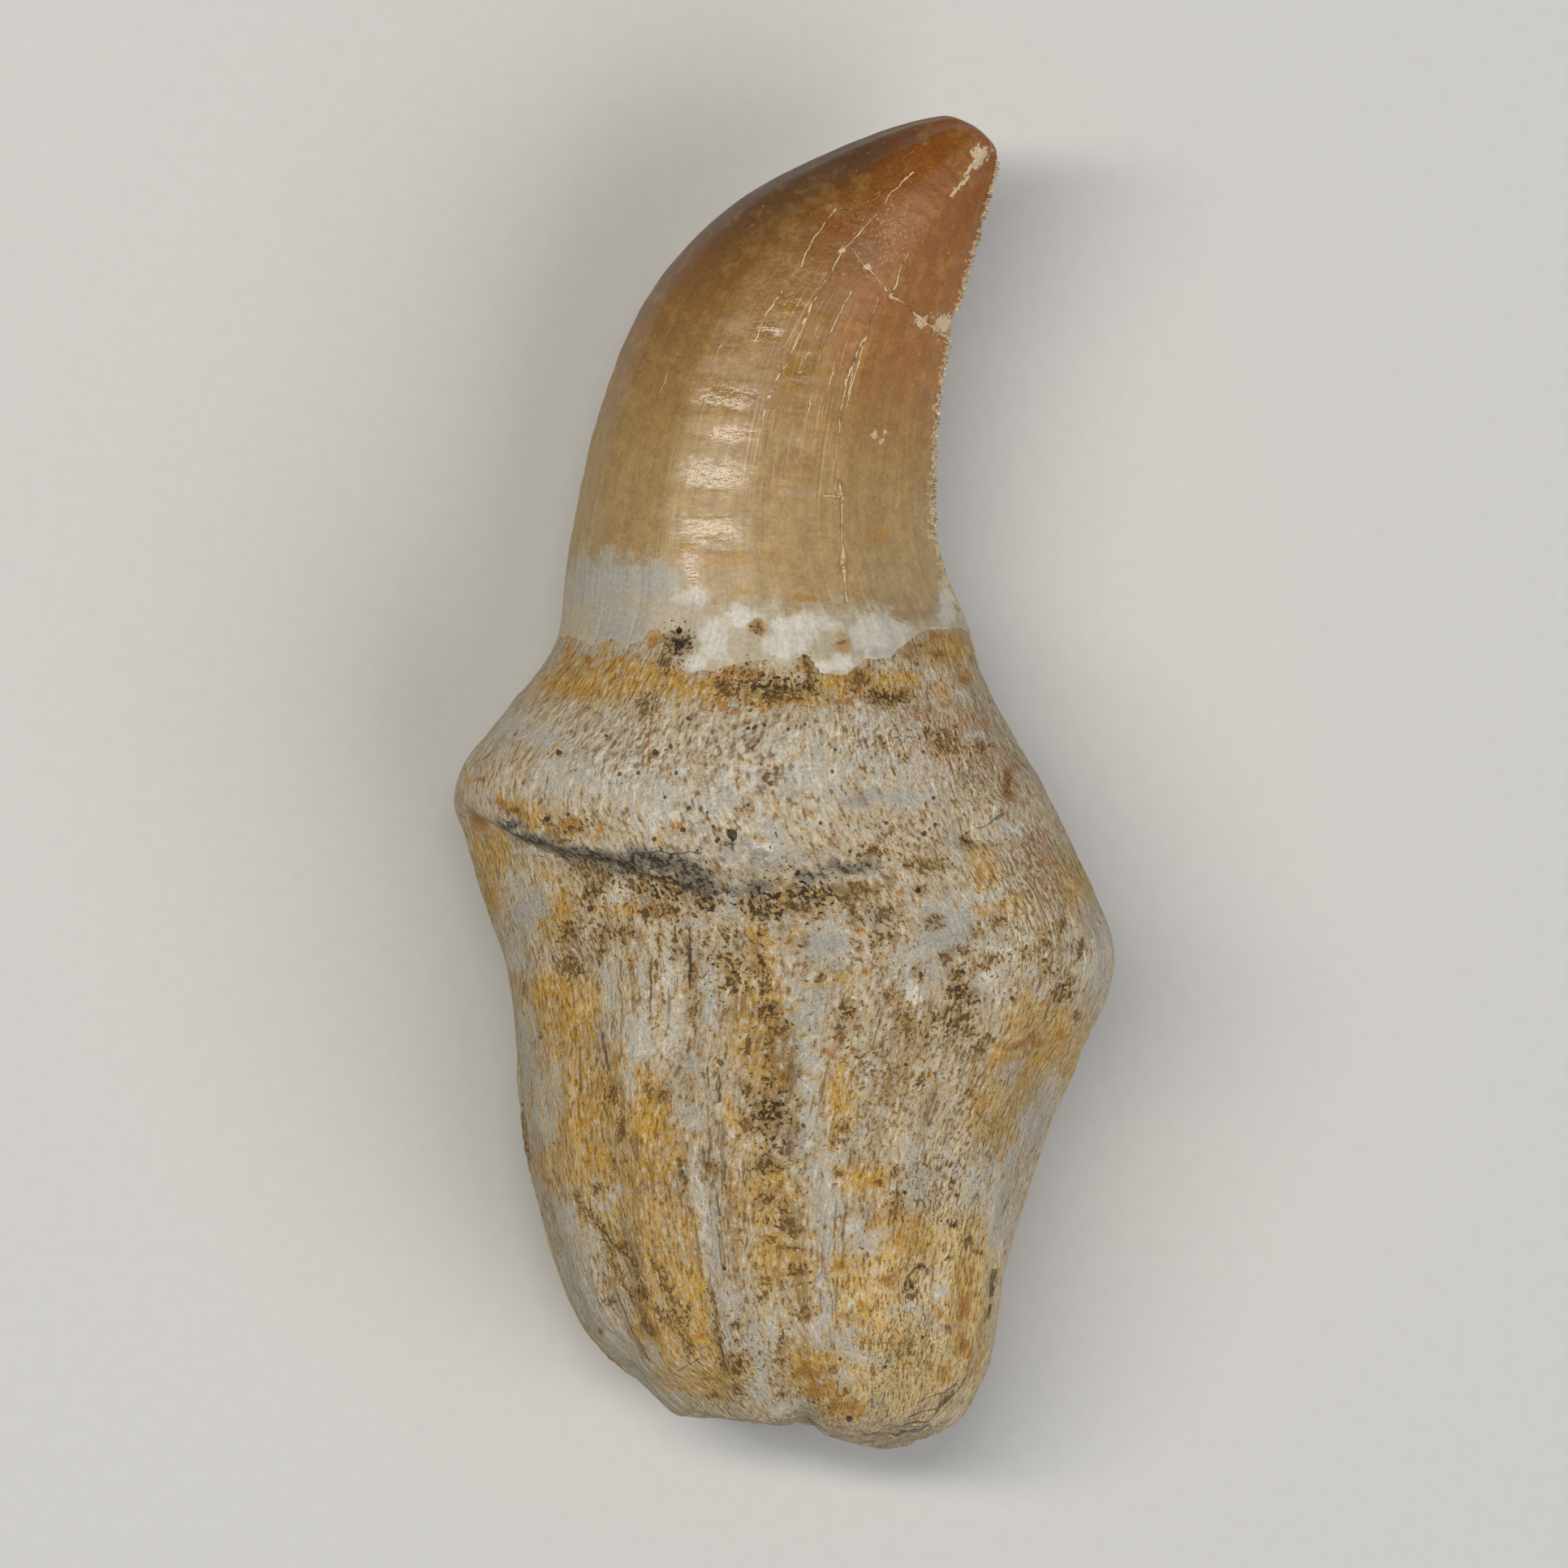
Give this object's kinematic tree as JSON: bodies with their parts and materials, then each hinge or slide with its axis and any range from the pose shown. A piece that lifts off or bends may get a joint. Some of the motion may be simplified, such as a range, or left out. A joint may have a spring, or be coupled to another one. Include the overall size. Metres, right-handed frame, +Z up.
{
  "type": "fossil mosasaur tooth",
  "caption": "Curved fossil reptile tooth with a serrated, keeled enamel crown on a thick ribbed bone root with a ledge and a side bulge, lying on its flatter side.",
  "frame": {"origin": "on the floor, under the middle of the tooth's box", "axes": "+Y along the tooth, from the root's end towards the crown's tip; +Z up, from the side that lies down to the side that looks up; +X towards the crown's concave, serrated edge"},
  "size_m": [0.0446, 0.09, 0.0271],
  "materials": {
    "tooth": "weathered bone root with grey, ochre and brown streaks, and a satin brown to tan enamel crown"
  },
  "bodies": {
    "root": {"tooth": "tooth"}
  },
  "joints": []
}
